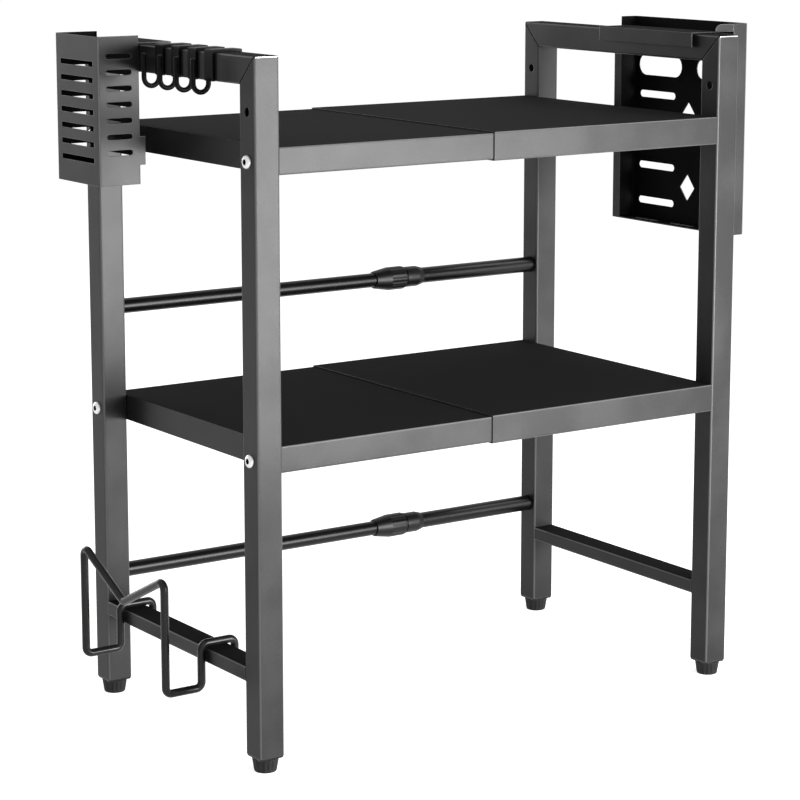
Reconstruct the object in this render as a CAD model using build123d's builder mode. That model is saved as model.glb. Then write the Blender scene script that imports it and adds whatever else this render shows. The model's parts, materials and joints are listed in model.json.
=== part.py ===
from build123d import *
import os
from math import pi

# An expandable two-tier kitchen rack: two welded end frames joined by telescoping shelves
# and telescoping rods, with a utensil box, rail hooks, a board holder and a wire lid rack.
# Millimetres. X runs along the width, Y from the front to the back, Z up from the floor.
# The origin is on the floor below the middle of the whole rack, hung pieces included.

# Frame
width = 540.0               # over the posts, at the rest position
depth = 306.0
height = 632.0
post = 25.0                 # side of the square tube
post_wall = 1.2
post_edge = 2.0             # outer corner radius of the tube
post_bottom = 15.0          # the tube ends here and the foot fills the rest
bottom_rail_z = 80.5        # underside of the low cross rail
bottom_rail_height = 14.0
spare_hole_radius = 4.0
spare_hole_drop = 47.5      # below the top of the frame

# Travel of the right half along X
open_travel = 60.0
close_travel = 100.0

# Shelves
sheet = 1.0
slide_gap = 0.2             # between the sliding sheets
fold_radius = 1.5           # outside of a sheet fold
upper_shelf_top = 555.3
lower_shelf_top = 295.3
skirt = 26.4                # height of the outer panel's rim
lip = 12.0                  # rim's return flange
right_panel_length = 263.5
panel_hold = 63.5           # how far the panels still overlap, rack fully open

# Shelf screws and weld nuts
screw_radius = 3.0
screw_hole_gap = 0.1
screw_head_radius = 6.0
screw_head_height = 3.3
screw_head_round = 2.4
screw_past_nut = 2.0
screw_socket = 4.0          # across the flats
screw_socket_depth = 2.0
nut_across_flats = 10.0
nut_height = 5.0

# Telescoping rods and their twist locks
lower_rod_z = 119.5
upper_rod_z = 378.0
outer_rod_radius = 8.0
outer_rod_wall = 0.7
rod_gap = 0.05              # running gap between the two tubes
inner_rod_wall = 0.8
rod_socket_depth = 3.0      # how far a rod end goes into its post
rod_hole_gap = 0.1
rod_end_gap = 2.0           # inner rod's end to the far post, rack closed
lock_x = 46.0               # small end of the lock nut
lock_cone_length = 17.0
lock_grip_length = 18.5
lock_nose_radius = 8.75
lock_grip_radius = 11.7
lock_nose_length = 3.0      # straight bore at the small end
lock_nose_gap = 0.25
lock_inner_cone_end = 12.0
thread_radius = 9.4         # threaded stub under the nut
thread_gap = 0.1
grip_groove_radius = 0.8
grip_groove_count = 14
sleeve_gap = 1.5            # open groove between nut and sleeve
sleeve_radius = 10.35
sleeve_body_length = 15.0
sleeve_end_length = 6.0
sleeve_end_radius = 8.7
collet_start = 6.0          # from the small end of the nut
collet_length = 9.4
collet_nose_wall = 0.6
collet_gap = 0.3
collet_slit = 1.2

# Feet
foot_flange = 2.0           # square flange of the insert under the tube
foot_seat_gap = 0.3
plug_gap = 0.15
plug_height = 12.0
foot_top_radius = 12.0
foot_bottom_radius = 9.0
foot_chamfer = 0.8
foot_groove_radius = 1.0
foot_groove_inset = 0.4
foot_groove_count = 16
stud_radius = 4.0
stud_gap = 0.05
stud_length = 13.0

# Utensil box, hung outside the left top rail
box_width = 42.0
box_depth = 82.0
box_height = 134.5
box_rise = 8.0              # above the top rail
box_screw_gap = 6.5         # behind the box, to the rear post's screw heads
box_edge = 1.5
hang_gap = 0.3              # between a hung piece and the frame
hook_sheet = 1.2
box_hook_reach = 34.0       # over the rail, from the frame's outer face
box_hook_drop = 15.0
box_hook_inset = 2.0
slot_count = 7
slot_pitch = 14.5
slot_height = 4.8
side_slot_length = 62.0
side_slot_drop = 25.0       # first slot, below the box's rim
end_slot_length = 26.0
end_slot_drop = 18.0
box_ear_reach = 5.0
box_ear_height = 26.0
box_ear_lift = 17.5         # above the box's floor
box_drain_radius = 3.0
box_drain_pitch = 16.0

# Rail hooks
hook_count = 4
hook_inset = 71.7           # first hook, behind the front of the rail
hook_pitch = 29.0
hook_width = 14.0
hook_strap = 2.2
hook_rail_gap = 0.2
hook_inner_drop = 14.0
hook_wire_radius = 2.25
hook_bend_radius = 7.6
hook_drop = 36.5            # below the top of the rail
hook_tip_drop = 5.0
hook_strap_round = 1.4

# Board holder, hung outside the right top rail
holder_gap = 4.0            # clears the screw heads of the frame
holder_width = 19.0
holder_inset = 12.0         # behind the front of the frame
holder_length = 170.0
holder_height = 204.5
holder_rise = 10.0          # above the top rail
holder_fold = 4.0
holder_flange = 10.0
holder_hook_reach = 30.0
holder_hook_drop = 14.0
holder_hook_inset = 22.0    # behind the front of the holder
holder_hook_length = 141.0
holder_strap_drop = 20.0
holder_slot_length = 55.0
holder_slot_height = 7.0
holder_slot_drop = 77.5     # first slot, below the holder's rim
holder_slot_pitch = 36.0
holder_slot_count = 4
holder_column = 48.0        # slot centre from the middle of the panel
window_length = 66.0
window_height = 21.0
window_drop = 48.0
window_column = 44.5
diamond_width = 21.5
diamond_height = 26.5
diamond_drop = 95.0
diamond_pitch = 72.0
diamond_count = 2
holder_drain_length = 40.0
holder_drain_width = 5.0
holder_drain_pitch = 55.0

# Wire lid rack, hung on the left bottom rail
wire_radius = 3.75
wire_bend = 6.0
rack_inset = 58.0           # rear end loop, in front of the back of the frame
rack_length = 153.0         # between the two end loops
rack_reach = 37.0           # inner to outer legs
rack_drop = 23.0            # heights from the underside of the rail
rack_corner_rise = 82.5
rack_valley_rise = 45.5
rack_hook_reach = 35.0
rack_hook_drop = 20.0

cut_over = 1.0              # how far a cut runs past the wall it goes through

half_depth = depth / 2
post_y = half_depth - post / 2
rail_underside = height - post
left_reach = hang_gap + max(box_width, rack_reach + 2 * wire_radius)    # what hangs past each frame
right_reach = holder_gap + holder_width
middle_x = (left_reach - right_reach) / 2                                # midway between the frames
outer_x = {"left": middle_x - width / 2, "right": middle_x + width / 2}  # outer sides of the posts
inner_x = {"left": outer_x["left"] + post, "right": outer_x["right"] - post}
left_panel_length = width - 2 * post - right_panel_length + open_travel + panel_hold
inner_rod_radius = outer_rod_radius - outer_rod_wall - rod_gap
inner_rod_end = inner_x["right"] - close_travel - rod_end_gap
rod_levels = {"upper": upper_rod_z, "lower": lower_rod_z}
shelf_tops = {"upper": upper_shelf_top, "lower": lower_shelf_top}
screw_levels = [top - skirt / 2 for top in shelf_tops.values()]
screw_hole_radius = screw_radius + screw_hole_gap
sides = {"left": -1, "right": 1}
ends = {"front": -1, "rear": 1}

os.makedirs("parts", exist_ok=True)


def across(x, y=0.0, z=0.0):
    """The plane square to X through a point, with its own x along Y and its own y along Z."""
    return Plane((x, y, z), x_dir=(0, 1, 0), z_dir=(1, 0, 0))


def bore_along_x(start, end_x, y, z, radius):
    """Cuts a round hole along X from one place to another."""
    with Locations(Location(((start + end_x) / 2, y, z), (0, 90, 0))):
        Cylinder(radius, abs(end_x - start), mode=Mode.SUBTRACT)


def mitre_plane(end):
    """The 45 degree joint between a post and the top rail, facing up and into the frame."""
    return Plane((0, end * half_depth, height), x_dir=(1, 0, 0), z_dir=(0, -end, 1))


def tube_section(wide, tall):
    """A rounded rectangular tube's section."""
    RectangleRounded(wide, tall, post_edge)
    RectangleRounded(wide - 2 * post_wall, tall - 2 * post_wall, post_edge - post_wall, mode=Mode.SUBTRACT)


# End frames: four mitred posts, two top rails and two low cross rails
for side_name, side in sides.items():
    outer, inner = outer_x[side_name], inner_x[side_name]
    frame_x = (outer + inner) / 2

    for end_name, end in ends.items():
        with BuildPart() as frame_post:
            with BuildSketch(Plane((frame_x, end * post_y, post_bottom))):
                tube_section(post, post)
            extrude(amount=height - post_bottom)
            split(bisect_by=mitre_plane(end), keep=Keep.BOTTOM)
            outside, inside = outer + side * cut_over, inner - side * cut_over
            for level in screw_levels:
                bore_along_x(outside, inside, end * post_y, level, screw_hole_radius)
            bore_along_x(outside, inside, end * post_y, height - spare_hole_drop, spare_hole_radius)
            if end_name == "rear":
                rod_radius = inner_rod_radius if side_name == "left" else outer_rod_radius
                for level in rod_levels.values():
                    behind_wall = inner + side * (post_wall + cut_over)
                    bore_along_x(inside, behind_wall, post_y, level, rod_radius + rod_hole_gap)
        frame_post.part.label = f"{side_name}_{end_name}_post"
        export_step(frame_post.part, f"parts/{frame_post.part.label}.step")

    with BuildPart() as top_rail:
        with BuildSketch(Plane((frame_x, -half_depth, height - post / 2), x_dir=(1, 0, 0), z_dir=(0, 1, 0))):
            tube_section(post, post)
        extrude(amount=depth)
        for end in ends.values():
            split(bisect_by=mitre_plane(end), keep=Keep.TOP)
    top_rail.part.label = f"{side_name}_top_rail"
    export_step(top_rail.part, f"parts/{top_rail.part.label}.step")

    with BuildPart() as bottom_rail:
        rail_start = (frame_x, post - half_depth, bottom_rail_z + bottom_rail_height / 2)
        with BuildSketch(Plane(rail_start, x_dir=(1, 0, 0), z_dir=(0, 1, 0))):
            tube_section(post, bottom_rail_height)
        extrude(amount=depth - 2 * post)
    bottom_rail.part.label = f"{side_name}_bottom_rail"
    export_step(bottom_rail.part, f"parts/{bottom_rail.part.label}.step")


# Shelves: folded trays, the left one sliding inside the right one
def tray_outline(panel_depth, top, bottom):
    """The tray's outer section on an X plane."""
    with Locations((0, (top + bottom) / 2)):
        RectangleRounded(panel_depth, top - bottom, fold_radius)


def tray_section(panel_depth, top, bottom):
    """A C-shaped section: the top, both rims and their return lips."""
    tray_outline(panel_depth, top, bottom)
    with Locations((0, (top + bottom) / 2)):
        RectangleRounded(
            panel_depth - 2 * sheet, top - bottom - 2 * sheet, fold_radius - sheet, mode=Mode.SUBTRACT
        )
    with Locations((0, bottom)):
        Rectangle(panel_depth - 2 * lip, 4 * sheet, mode=Mode.SUBTRACT)


for tier_name, shelf_top in shelf_tops.items():
    nest = sheet + slide_gap
    panels = {
        "left": (depth - 2 * nest, shelf_top - nest, shelf_top - skirt + nest, left_panel_length),
        "right": (depth, shelf_top, shelf_top - skirt, right_panel_length),
    }
    for side_name, (panel_depth, top, bottom, length) in panels.items():
        side, inner = sides[side_name], inner_x[side_name]
        with BuildPart() as shelf_panel:
            with BuildSketch(across(inner)):
                tray_section(panel_depth, top, bottom)
            extrude(amount=-side * length)
            with BuildSketch(across(inner)):
                tray_outline(panel_depth, top, bottom)
            extrude(amount=-side * sheet)
            end_wall = (inner + side * cut_over, inner - side * (sheet + cut_over))
            for end in ends.values():
                bore_along_x(*end_wall, end * post_y, shelf_top - skirt / 2, screw_hole_radius)
        shelf_panel.part.label = f"{tier_name}_shelf_{side_name}_panel"
        export_step(shelf_panel.part, f"parts/{shelf_panel.part.label}.step")

# Shelf screws through the posts into weld nuts inside the trays
for side_name, side in sides.items():
    outer, inner = outer_x[side_name], inner_x[side_name]
    screw_places = [(end * post_y, level) for level in screw_levels for end in ends.values()]

    with BuildPart() as shelf_screws:
        with BuildSketch(across(outer)):
            with Locations(*screw_places):
                Circle(screw_head_radius)
        extrude(amount=side * screw_head_height)
        crowns = shelf_screws.edges().filter_by(GeomType.CIRCLE).group_by(Axis.X)[0 if side < 0 else -1]
        fillet(crowns, screw_head_round)
        with BuildSketch(across(outer + side * screw_head_height)):
            with Locations(*screw_places):
                RegularPolygon(screw_socket / 2, 6, major_radius=False)
        extrude(amount=-side * screw_socket_depth, mode=Mode.SUBTRACT)
        with BuildSketch(across(outer)):
            with Locations(*screw_places):
                Circle(screw_radius)
        extrude(amount=-side * (post + sheet + nut_height + screw_past_nut))
    shelf_screws.part.label = f"{side_name}_shelf_screws"
    export_step(shelf_screws.part, f"parts/{shelf_screws.part.label}.step")

    with BuildPart() as weld_nuts:
        with BuildSketch(across(inner - side * sheet)):
            with Locations(*screw_places):
                RegularPolygon(nut_across_flats / 2, 6, major_radius=False)
                Circle(screw_hole_radius, mode=Mode.SUBTRACT)
        extrude(amount=-side * nut_height)
    weld_nuts.part.label = f"{side_name}_weld_nuts"
    export_step(weld_nuts.part, f"parts/{weld_nuts.part.label}.step")

# Telescoping rods at the back, each with a twist lock
lock_start = middle_x + lock_x
lock_nut_end = lock_start + lock_cone_length + lock_grip_length
stub_start = lock_start + collet_start + collet_length + slide_gap
sleeve_start = lock_nut_end + sleeve_gap
nut_bore = thread_radius + thread_gap
tube_hold = outer_rod_radius + rod_gap


def rod_axis(level):
    """The centre line of a rod."""
    return Axis((0, post_y, level), (1, 0, 0))


def turned_plane(level):
    """The plane through a rod's centre line on which its turned pieces are drawn."""
    return Plane((0, post_y, level), x_dir=(1, 0, 0), z_dir=(0, 0, 1))


for tier_name, level in rod_levels.items():
    with BuildPart() as inner_rod:
        inner_rod_start = inner_x["left"] - rod_socket_depth
        with BuildSketch(across(inner_rod_start, post_y, level)):
            Circle(inner_rod_radius)
            Circle(inner_rod_radius - inner_rod_wall, mode=Mode.SUBTRACT)
        extrude(amount=inner_rod_end - inner_rod_start)
    inner_rod.part.label = f"{tier_name}_rod_inner_tube"
    export_step(inner_rod.part, f"parts/{inner_rod.part.label}.step")

    with BuildPart() as outer_rod:
        with BuildSketch(across(stub_start, post_y, level)):
            Circle(outer_rod_radius)
            Circle(outer_rod_radius - outer_rod_wall, mode=Mode.SUBTRACT)
        extrude(amount=inner_x["right"] + rod_socket_depth - stub_start)
    outer_rod.part.label = f"{tier_name}_rod_outer_tube"
    export_step(outer_rod.part, f"parts/{outer_rod.part.label}.step")

    with BuildPart() as lock_sleeve:
        sleeve_shoulder = sleeve_start + sleeve_body_length
        sleeve_end = sleeve_shoulder + sleeve_end_length
        with BuildSketch(turned_plane(level)):
            with BuildLine():
                Polyline(
                    (stub_start, tube_hold), (stub_start, thread_radius), (sleeve_start, thread_radius),
                    (sleeve_start, sleeve_radius), (sleeve_shoulder, sleeve_radius),
                    (sleeve_end, sleeve_end_radius), (sleeve_end, tube_hold), close=True,
                )
            make_face()
        revolve(axis=rod_axis(level))
    lock_sleeve.part.label = f"{tier_name}_lock_sleeve"
    export_step(lock_sleeve.part, f"parts/{lock_sleeve.part.label}.step")

    with BuildPart() as lock_nut:
        nose_bore = inner_rod_radius + lock_nose_gap
        grip_start = lock_start + lock_cone_length
        with BuildSketch(turned_plane(level)):
            with BuildLine():
                Polyline(
                    (lock_start, nose_bore), (lock_start, lock_nose_radius), (grip_start, lock_grip_radius),
                    (lock_nut_end, lock_grip_radius), (lock_nut_end, nut_bore),
                    (lock_start + lock_inner_cone_end, nut_bore), (lock_start + lock_nose_length, nose_bore),
                    close=True,
                )
            make_face()
        revolve(axis=rod_axis(level))
        with BuildSketch(across(grip_start, post_y, level)):
            with PolarLocations(lock_grip_radius, grip_groove_count):
                Circle(grip_groove_radius)
        extrude(amount=lock_grip_length, mode=Mode.SUBTRACT)
    lock_nut.part.label = f"{tier_name}_lock_nut"
    export_step(lock_nut.part, f"parts/{lock_nut.part.label}.step")

    with BuildPart() as lock_collet:
        collet_bore = inner_rod_radius + rod_gap
        collet_nose = lock_start + collet_start
        with BuildSketch(turned_plane(level)):
            with BuildLine():
                Polyline(
                    (collet_nose, collet_bore), (collet_nose, collet_bore + collet_nose_wall),
                    (lock_start + lock_inner_cone_end, nut_bore - collet_gap),
                    (collet_nose + collet_length, nut_bore - collet_gap),
                    (collet_nose + collet_length, collet_bore), close=True,
                )
            make_face()
        revolve(axis=rod_axis(level))
        with BuildSketch(Plane((collet_nose - cut_over, post_y, level))):
            Rectangle(collet_length + 2 * cut_over, collet_slit, align=(Align.MIN, Align.CENTER))
        extrude(amount=nut_bore, mode=Mode.SUBTRACT)
    lock_collet.part.label = f"{tier_name}_lock_collet"
    export_step(lock_collet.part, f"parts/{lock_collet.part.label}.step")

# Feet: a square insert in each tube, and a ribbed levelling foot screwed into it
insert_bottom = post_bottom - foot_flange
foot_height = insert_bottom - foot_seat_gap

for side_name, side in sides.items():
    foot_x = (outer_x[side_name] + inner_x[side_name]) / 2
    foot_places = [(foot_x, end * post_y) for end in ends.values()]
    plug = post - 2 * post_wall - 2 * plug_gap

    with BuildPart() as foot_inserts:
        with BuildSketch(Plane.XY.offset(insert_bottom)):
            with Locations(*foot_places):
                RectangleRounded(post, post, post_edge)
        extrude(amount=foot_flange)
        with BuildSketch(Plane.XY.offset(post_bottom)):
            with Locations(*foot_places):
                RectangleRounded(plug, plug, post_edge - post_wall)
        extrude(amount=plug_height)
        with BuildSketch(Plane.XY.offset(insert_bottom)):
            with Locations(*foot_places):
                Circle(stud_radius + stud_gap)
        extrude(amount=foot_flange + plug_height, mode=Mode.SUBTRACT)
    foot_inserts.part.label = f"{side_name}_foot_inserts"
    export_step(foot_inserts.part, f"parts/{foot_inserts.part.label}.step")

    for end_name, end in ends.items():
        with BuildPart() as levelling_foot:
            with BuildSketch(Plane((foot_x, end * post_y, 0))):
                Circle(foot_bottom_radius)
            with BuildSketch(Plane((foot_x, end * post_y, foot_height))):
                Circle(foot_top_radius)
            loft()
            chamfer(levelling_foot.edges().group_by(Axis.Z)[0], foot_chamfer)
            with BuildSketch(Plane((foot_x, end * post_y, 0))):
                with PolarLocations(foot_top_radius - foot_groove_inset, foot_groove_count):
                    Circle(foot_groove_radius)
            extrude(amount=foot_height, mode=Mode.SUBTRACT)
            with BuildSketch(Plane((foot_x, end * post_y, foot_height))):
                Circle(stud_radius)
            extrude(amount=stud_length)
        levelling_foot.part.label = f"{side_name}_{end_name}_foot"
        export_step(levelling_foot.part, f"parts/{levelling_foot.part.label}.step")

# Utensil box: a slotted sheet box with a hook folded over the left top rail
left_face, right_face = outer_x["left"], outer_x["right"]
box_inner_x = left_face - hang_gap
box_x = box_inner_x - box_width / 2
box_rear = post_y - screw_head_radius - box_screw_gap
box_y = box_rear - box_depth / 2
box_top = height + box_rise
box_bottom = box_top - box_height
hook_under = height + hang_gap          # underside of a hook plate on the rail

with BuildPart() as utensil_box:
    with BuildSketch(Plane((box_x, box_y, box_bottom))):
        RectangleRounded(box_width, box_depth, box_edge)
    extrude(amount=box_height)
    with BuildSketch(Plane((box_x, box_y, box_bottom + sheet))):
        RectangleRounded(box_width - 2 * sheet, box_depth - 2 * sheet, box_edge - sheet)
    extrude(amount=box_height, mode=Mode.SUBTRACT)
    with BuildSketch(across(box_x - box_width)):
        for row in range(slot_count):
            with Locations((box_y, box_top - side_slot_drop - row * slot_pitch)):
                Rectangle(side_slot_length, slot_height)
    extrude(amount=2 * box_width, mode=Mode.SUBTRACT)
    with BuildSketch(Plane((0, box_y - box_depth, 0), x_dir=(1, 0, 0), z_dir=(0, -1, 0))):
        for row in range(slot_count):
            with Locations((box_x, box_top - end_slot_drop - row * slot_pitch)):
                SlotOverall(end_slot_length, slot_height)
    extrude(amount=-2 * box_depth, mode=Mode.SUBTRACT)
    with BuildSketch(Plane((box_inner_x, box_y, hook_under))):
        Rectangle(4 * sheet, box_depth - 2 * box_hook_inset)
    extrude(amount=box_height, mode=Mode.SUBTRACT)
    with BuildSketch(Plane((box_x, box_y, box_bottom))):
        with GridLocations(box_drain_pitch, box_drain_pitch, 2, 4):
            Circle(box_drain_radius)
    extrude(amount=2 * sheet, mode=Mode.SUBTRACT)
    with BuildSketch(Plane((box_inner_x, box_rear - box_depth, box_bottom + box_ear_lift))):
        Rectangle(box_ear_reach, sheet, align=(Align.MIN, Align.MIN))
        Rectangle(box_edge, sheet, align=(Align.MAX, Align.MIN))
    extrude(amount=box_ear_height)
utensil_box.part.label = "utensil_box"
export_step(utensil_box.part, "parts/utensil_box.step")

with BuildPart() as box_hook:
    hook_end = left_face + box_hook_reach
    with BuildSketch(Plane((0, box_y, 0), x_dir=(1, 0, 0), z_dir=(0, -1, 0))):
        with Locations((box_inner_x - sheet, hook_under)):
            Rectangle(hook_end - box_inner_x + sheet, hook_sheet, align=Align.MIN)
        with Locations((hook_end, hook_under + hook_sheet)):
            Rectangle(hook_sheet, box_hook_drop, align=Align.MAX)
    extrude(amount=box_depth / 2 - box_hook_inset, both=True)
box_hook.part.label = "utensil_box_hook"
export_step(box_hook.part, "parts/utensil_box_hook.step")

# Rail hooks: a strap over the top rail with a round J below it
strap_outer_x = left_face - hook_rail_gap - hook_strap
strap_inner_x = inner_x["left"] + hook_rail_gap + hook_strap
strap_top = height + hook_rail_gap + hook_strap
arm_x = left_face - hook_rail_gap - hook_wire_radius
bend_z = height - hook_drop + hook_wire_radius + hook_bend_radius

for number in range(hook_count):
    hook_y = hook_inset - half_depth + number * hook_pitch
    with BuildPart() as rail_hook:
        with BuildSketch(Plane((0, hook_y, 0), x_dir=(1, 0, 0), z_dir=(0, -1, 0))):
            with Locations((strap_outer_x, strap_top)):
                strap_width, strap_height = strap_inner_x - strap_outer_x, strap_top - rail_underside
                Rectangle(strap_width, strap_height, align=(Align.MIN, Align.MAX))
            with Locations((strap_outer_x + hook_strap, strap_top - hook_strap)):
                Rectangle(post + 2 * hook_rail_gap, height, align=(Align.MIN, Align.MAX), mode=Mode.SUBTRACT)
            with Locations((inner_x["left"], height - hook_inner_drop)):
                Rectangle(post, post, align=(Align.MIN, Align.MAX), mode=Mode.SUBTRACT)
        extrude(amount=hook_width / 2, both=True)
        fillet(rail_hook.edges().filter_by(Axis.Y).group_by(Axis.Z)[-1], hook_strap_round)
        with BuildLine() as hook_path:
            arm = Line((arm_x, hook_y, rail_underside + hook_wire_radius), (arm_x, hook_y, bend_z))
            bend = ThreePointArc(
                arm @ 1,
                (arm_x - hook_bend_radius, hook_y, bend_z - hook_bend_radius),
                (arm_x - 2 * hook_bend_radius, hook_y, bend_z),
            )
            Line(bend @ 1, (arm_x - 2 * hook_bend_radius, hook_y, height - hook_tip_drop))
        with BuildSketch(Plane(arm @ 0, z_dir=arm % 0)):
            Circle(hook_wire_radius)
        sweep(path=hook_path.line)
        hook_tip = rail_hook.faces().filter_by(Axis.Z).sort_by(Axis.X)[0]
        fillet(hook_tip.edges(), hook_wire_radius / 2)
    rail_hook.part.label = f"rail_hook_{number + 1}"
    export_step(rail_hook.part, f"parts/{rail_hook.part.label}.step")

# Board holder: a folded channel with cut-outs, hung over the right top rail
holder_inner_x = right_face + holder_gap
holder_outer_x = holder_inner_x + holder_width
holder_front = holder_inset - half_depth
holder_mid_y = holder_front + holder_length / 2
holder_rear = holder_front + holder_length
holder_top = height + holder_rise
holder_bottom = holder_top - holder_height

with BuildPart() as board_holder:
    with BuildSketch(Plane((holder_inner_x, holder_mid_y, holder_bottom))) as channel:
        Rectangle(holder_width, holder_length, align=(Align.MIN, Align.CENTER))
        fillet(channel.vertices().group_by(Axis.X)[-1], holder_fold)
    extrude(amount=holder_height)
    with BuildSketch(Plane((holder_inner_x, holder_mid_y, holder_bottom + sheet))) as hollow:
        Rectangle(holder_width - sheet, holder_length - 2 * sheet, align=(Align.MIN, Align.CENTER))
        fillet(hollow.vertices().group_by(Axis.X)[-1], holder_fold - sheet)
    extrude(amount=holder_height, mode=Mode.SUBTRACT)
    with BuildSketch(Plane((holder_inner_x, holder_rear, holder_bottom))):
        Rectangle(sheet, holder_flange, align=Align.MIN)
    extrude(amount=rail_underside - holder_bottom)
    with BuildSketch(across(holder_outer_x + cut_over, holder_mid_y)):
        for way in (-1, 1):
            with Locations((way * window_column, holder_top - window_drop)):
                SlotOverall(window_length, window_height)
            for row in range(holder_slot_count):
                slot_z = holder_top - holder_slot_drop - row * holder_slot_pitch
                with Locations((way * holder_column, slot_z)):
                    SlotOverall(holder_slot_length, holder_slot_height)
        for row in range(diamond_count):
            with BuildLine():
                diamond_z = holder_top - diamond_drop - row * diamond_pitch
                Polyline(
                    (-diamond_width / 2, diamond_z), (0, diamond_z + diamond_height / 2),
                    (diamond_width / 2, diamond_z), (0, diamond_z - diamond_height / 2), close=True,
                )
            make_face()
    extrude(amount=-sheet - 2 * cut_over, mode=Mode.SUBTRACT)
    with BuildSketch(Plane((holder_inner_x + holder_width / 2, holder_mid_y, holder_bottom))):
        with GridLocations(0, holder_drain_pitch, 1, 3):
            SlotOverall(holder_drain_length, holder_drain_width, rotation=90)
    extrude(amount=2 * sheet, mode=Mode.SUBTRACT)
board_holder.part.label = "board_holder"
export_step(board_holder.part, "parts/board_holder.step")

with BuildPart() as holder_hook:
    hook_lip_x = right_face - holder_hook_reach
    with BuildSketch(Plane((0, holder_front + holder_hook_inset, 0), x_dir=(1, 0, 0), z_dir=(0, -1, 0))):
        with Locations((hook_lip_x, hook_under)):
            Rectangle(holder_inner_x + sheet - hook_lip_x, hook_sheet, align=Align.MIN)
        with Locations((hook_lip_x, hook_under + hook_sheet)):
            Rectangle(hook_sheet, holder_hook_drop, align=(Align.MIN, Align.MAX))
    extrude(amount=-holder_hook_length)
    with BuildSketch(Plane((holder_inner_x, holder_mid_y, hook_under - holder_strap_drop))):
        Rectangle(sheet, holder_length - 2 * sheet, align=(Align.MIN, Align.CENTER))
    extrude(amount=holder_strap_drop)
holder_hook.part.label = "board_holder_hook"
export_step(holder_hook.part, "parts/board_holder_hook.step")

# Wire lid rack: one bent wire that hooks over the left bottom rail at both ends
rack_inner_x = left_face - hang_gap - wire_radius
rack_outer_x = rack_inner_x - rack_reach
rack_over_z = bottom_rail_z + bottom_rail_height + hang_gap + wire_radius
rack_hook_x = rack_inner_x + rack_hook_reach
rack_rear_y = half_depth - rack_inset
rack_front_y = rack_rear_y - rack_length
rack_low_z = bottom_rail_z - rack_drop
rack_corner_z = bottom_rail_z + rack_corner_rise
rack_valley_z = bottom_rail_z + rack_valley_rise


def rack_loop(y):
    """One end of the wire, from its hooked tip to the top of the outer leg."""
    return [
        (rack_hook_x, y, rack_over_z - rack_hook_drop), (rack_hook_x, y, rack_over_z),
        (rack_inner_x, y, rack_over_z), (rack_inner_x, y, rack_low_z),
        (rack_outer_x, y, rack_low_z), (rack_outer_x, y, rack_corner_z),
    ]


with BuildPart() as lid_rack:
    valley = [(rack_outer_x, (rack_front_y + rack_rear_y) / 2, rack_valley_z)]
    route = rack_loop(rack_rear_y) + valley + rack_loop(rack_front_y)[::-1]
    with BuildLine():
        rack_wire = FilletPolyline(*route, radius=wire_bend)
    with BuildSketch(Plane(rack_wire @ 0, z_dir=rack_wire % 0)):
        Circle(wire_radius)
    sweep(path=rack_wire)
lid_rack.part.label = "wire_lid_rack"
export_step(lid_rack.part, "parts/wire_lid_rack.step")
wire_volume = pi * wire_radius**2 * rack_wire.length
wire_ratio = lid_rack.part.volume / wire_volume
print(f"lid rack wire {rack_wire.length:.1f} mm, solid to section times length {wire_ratio:.4f}")
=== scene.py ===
"""Looks of a width-adjustable two-tier kitchen rack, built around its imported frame.

Satin powder-coated tube frames and folded shelves, enamelled rods with moulded nylon twist
locks, ribbed rubber feet, zinc-plated socket screws, and four hung accessories. Metres, X
along the width, Y to the back, Z up.
"""

import json
import logging
import math
from collections.abc import Callable, Iterator
from contextlib import contextmanager
from dataclasses import dataclass, replace
from enum import Enum
from typing import ClassVar

import bmesh
import bpy
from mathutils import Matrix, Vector

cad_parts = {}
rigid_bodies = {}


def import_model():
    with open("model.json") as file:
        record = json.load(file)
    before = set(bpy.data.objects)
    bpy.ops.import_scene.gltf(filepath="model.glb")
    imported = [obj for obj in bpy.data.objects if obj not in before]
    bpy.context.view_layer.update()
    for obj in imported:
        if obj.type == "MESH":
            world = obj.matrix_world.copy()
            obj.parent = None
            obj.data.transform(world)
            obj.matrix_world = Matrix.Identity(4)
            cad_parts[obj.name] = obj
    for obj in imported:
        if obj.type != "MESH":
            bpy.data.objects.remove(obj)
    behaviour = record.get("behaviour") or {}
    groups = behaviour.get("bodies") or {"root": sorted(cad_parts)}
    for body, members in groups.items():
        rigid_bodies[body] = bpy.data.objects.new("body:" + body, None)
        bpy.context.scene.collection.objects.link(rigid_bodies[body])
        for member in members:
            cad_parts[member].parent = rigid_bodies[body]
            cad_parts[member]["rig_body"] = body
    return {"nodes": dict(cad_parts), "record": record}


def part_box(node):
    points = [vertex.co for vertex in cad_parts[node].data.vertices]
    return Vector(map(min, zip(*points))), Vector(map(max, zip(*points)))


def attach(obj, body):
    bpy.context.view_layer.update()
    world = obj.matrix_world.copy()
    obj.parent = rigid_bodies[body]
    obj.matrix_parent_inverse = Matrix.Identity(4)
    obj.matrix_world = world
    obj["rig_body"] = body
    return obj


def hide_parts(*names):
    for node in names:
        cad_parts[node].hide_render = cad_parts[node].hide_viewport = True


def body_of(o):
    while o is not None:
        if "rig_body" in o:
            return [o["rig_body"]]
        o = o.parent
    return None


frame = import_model()

MM = 0.001
LOG = logging.getLogger("rack")
IMAGE_PIXELS = 800          # the photograph's frame is square
SENSOR_MM = 36.0
MERGE = 1e-6                # vertices nearer than this are one, in metres
SMOOTH_DEGREES = 32.0       # edges that turn more than this stay sharp
SIDES_PER_GROOVE = 6        # of a turned piece that is fluted
POLE = 0.01                 # radius that closes a turned piece on its centre line, in millimetres

Pair = tuple[float, float]
Triple = tuple[float, float, float]


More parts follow.
